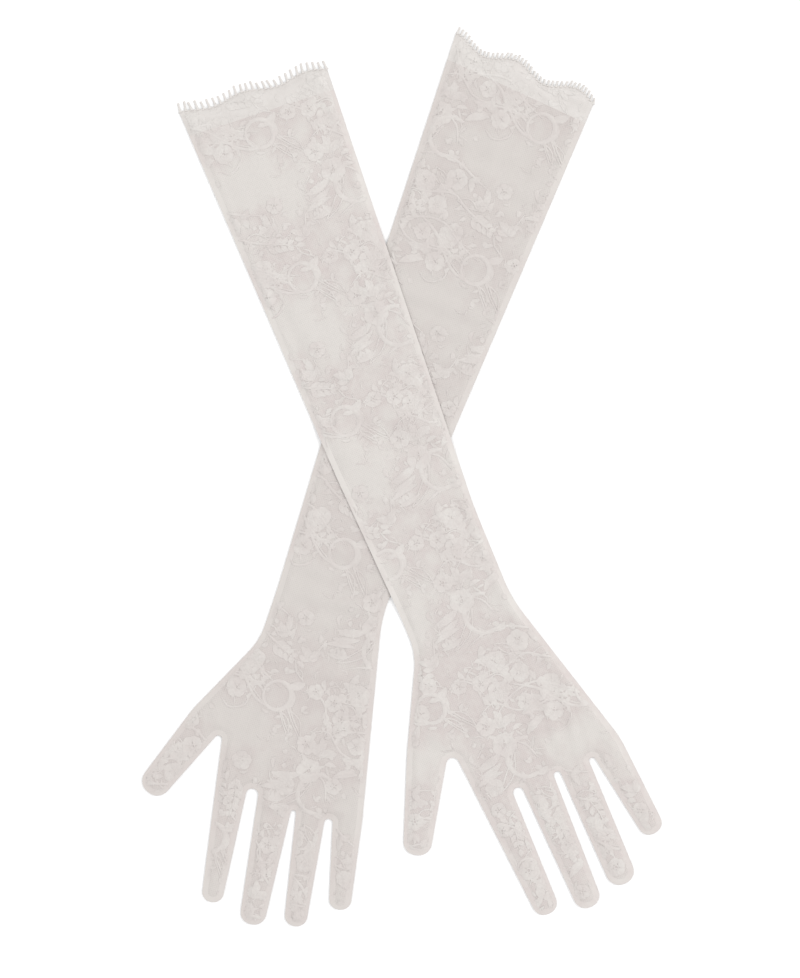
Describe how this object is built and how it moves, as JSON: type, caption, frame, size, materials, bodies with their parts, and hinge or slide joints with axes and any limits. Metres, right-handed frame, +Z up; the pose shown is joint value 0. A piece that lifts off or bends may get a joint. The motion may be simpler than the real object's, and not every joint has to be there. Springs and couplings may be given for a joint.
{
  "type": "pair of opera gloves",
  "caption": "Pair of long stretch-lace opera gloves laid flat and crossed, with scalloped fringed cuffs; each folds at mid arm, wrist and fingers.",
  "frame": {"origin": "on the table, under the middle of the outline of the crossed pair", "axes": "+Z up from the table, +Y towards the cuffs, +X towards the side where the left glove's fingers lie"},
  "size_m": [0.3284, 0.5664, 0.0183],
  "materials": {
    "lace_back": "sheer stretch floral lace, matt",
    "lace_palm": "sheer stretch floral lace, matt",
    "seam": "sewn and turned lace edge, matt",
    "border": "dense scalloped lace with eyelash fringe, matt"
  },
  "bodies": {
    "left_upperarm_section": {"left_upperarm_back": "lace_back", "left_upperarm_palm": "lace_palm", "left_upperarm_thumb_seam": "seam", "left_upperarm_little_seam": "seam", "left_border": "border"},
    "left_forearm_section": {"left_forearm_back": "lace_back", "left_forearm_palm": "lace_palm", "left_forearm_thumb_seam": "seam", "left_forearm_little_seam": "seam"},
    "left_hand_section": {"left_hand_back": "lace_back", "left_hand_palm": "lace_palm", "left_hand_thumb_seam": "seam", "left_hand_little_seam": "seam"},
    "left_thumb_section": {"left_thumb_back": "lace_back", "left_thumb_palm": "lace_palm", "left_thumb_seam": "seam"},
    "left_index_finger": {"left_index_back": "lace_back", "left_index_palm": "lace_palm", "left_index_seam": "seam"},
    "left_middle_finger": {"left_middle_back": "lace_back", "left_middle_palm": "lace_palm", "left_middle_seam": "seam"},
    "left_ring_finger": {"left_ring_back": "lace_back", "left_ring_palm": "lace_palm", "left_ring_seam": "seam"},
    "left_little_finger": {"left_little_back": "lace_back", "left_little_palm": "lace_palm", "left_little_seam": "seam"},
    "right_upperarm_section": {"right_upperarm_back": "lace_back", "right_upperarm_palm": "lace_palm", "right_upperarm_thumb_seam": "seam", "right_upperarm_little_seam": "seam", "right_border": "border"},
    "right_forearm_section": {"right_forearm_back": "lace_back", "right_forearm_palm": "lace_palm", "right_forearm_thumb_seam": "seam", "right_forearm_little_seam": "seam"},
    "right_hand_section": {"right_hand_back": "lace_back", "right_hand_palm": "lace_palm", "right_hand_thumb_seam": "seam", "right_hand_little_seam": "seam"},
    "right_thumb_section": {"right_thumb_back": "lace_back", "right_thumb_palm": "lace_palm", "right_thumb_seam": "seam"},
    "right_index_finger": {"right_index_back": "lace_back", "right_index_palm": "lace_palm", "right_index_seam": "seam"},
    "right_middle_finger": {"right_middle_back": "lace_back", "right_middle_palm": "lace_palm", "right_middle_seam": "seam"},
    "right_ring_finger": {"right_ring_back": "lace_back", "right_ring_palm": "lace_palm", "right_ring_seam": "seam"},
    "right_little_finger": {"right_little_back": "lace_back", "right_little_palm": "lace_palm", "right_little_seam": "seam"}
  },
  "joints": [
    {"name": "left_glove_lift", "type": "slide", "parent": "right_forearm_section", "child": "left_forearm_section", "axis": [0, 0, 1], "range_m": [0, 0.15]},
    {"name": "left_upperarm_fold", "type": "hinge", "parent": "left_forearm_section", "child": "left_upperarm_section", "pos_m": [-0.051, 0.13807, 0.0183], "axis": [0.9323, 0.3616, 0], "range_deg": [0, 90]},
    {"name": "left_wrist_fold", "type": "hinge", "parent": "left_forearm_section", "child": "left_hand_section", "pos_m": [0.03548, -0.08256, 0.0183], "axis": [-0.9048, -0.4258, 0], "range_deg": [0, 90]},
    {"name": "left_thumb_fold", "type": "hinge", "parent": "left_hand_section", "child": "left_thumb_section", "pos_m": [0.01532, -0.18094, 0.01462], "axis": [-0.9939, 0.1075, 0.0238], "range_deg": [0, 90]},
    {"name": "left_index_fold", "type": "hinge", "parent": "left_hand_section", "child": "left_index_finger", "pos_m": [0.06243, -0.20788, 0.01259], "axis": [-0.9092, -0.4163, 0.0005], "range_deg": [0, 90]},
    {"name": "left_middle_fold", "type": "hinge", "parent": "left_hand_section", "child": "left_middle_finger", "pos_m": [0.08786, -0.19591, 0.01259], "axis": [-0.9205, -0.3908, 0.0017], "range_deg": [0, 90]},
    {"name": "left_ring_fold", "type": "hinge", "parent": "left_hand_section", "child": "left_ring_finger", "pos_m": [0.1106, -0.18521, 0.01259], "axis": [-0.9184, -0.3956, 0.0015], "range_deg": [0, 90]},
    {"name": "left_little_fold", "type": "hinge", "parent": "left_hand_section", "child": "left_little_finger", "pos_m": [0.13253, -0.17488, 0.01259], "axis": [-0.8712, -0.4908, -0.0033], "range_deg": [0, 90]},
    {"name": "right_upperarm_fold", "type": "hinge", "parent": "right_forearm_section", "child": "right_upperarm_section", "pos_m": [0.03962, 0.15129, 0.009], "axis": [0.9385, -0.3453, 0], "range_deg": [0, 90]},
    {"name": "right_wrist_fold", "type": "hinge", "parent": "right_forearm_section", "child": "right_hand_section", "pos_m": [-0.04798, -0.08923, 0.009], "axis": [-0.9603, 0.279, 0], "range_deg": [0, 90]},
    {"name": "right_thumb_fold", "type": "hinge", "parent": "right_hand_section", "child": "right_thumb_section", "pos_m": [-0.12727, -0.15733, 0.009], "axis": [-0.7749, 0.632, 0], "range_deg": [0, 90]},
    {"name": "right_index_fold", "type": "hinge", "parent": "right_hand_section", "child": "right_index_finger", "pos_m": [-0.10891, -0.20165, 0.009], "axis": [-0.9848, 0.1736, 0], "range_deg": [0, 90]},
    {"name": "right_middle_fold", "type": "hinge", "parent": "right_hand_section", "child": "right_middle_finger", "pos_m": [-0.08127, -0.20969, 0.009], "axis": [-0.9816, 0.1908, 0], "range_deg": [0, 90]},
    {"name": "right_ring_fold", "type": "hinge", "parent": "right_hand_section", "child": "right_ring_finger", "pos_m": [-0.05827, -0.21633, 0.009], "axis": [-0.9898, 0.1426, 0], "range_deg": [0, 90]},
    {"name": "right_little_fold", "type": "hinge", "parent": "right_hand_section", "child": "right_little_finger", "pos_m": [-0.03506, -0.22302, 0.009], "axis": [-0.9959, 0.0906, 0], "range_deg": [0, 90]}
  ]
}
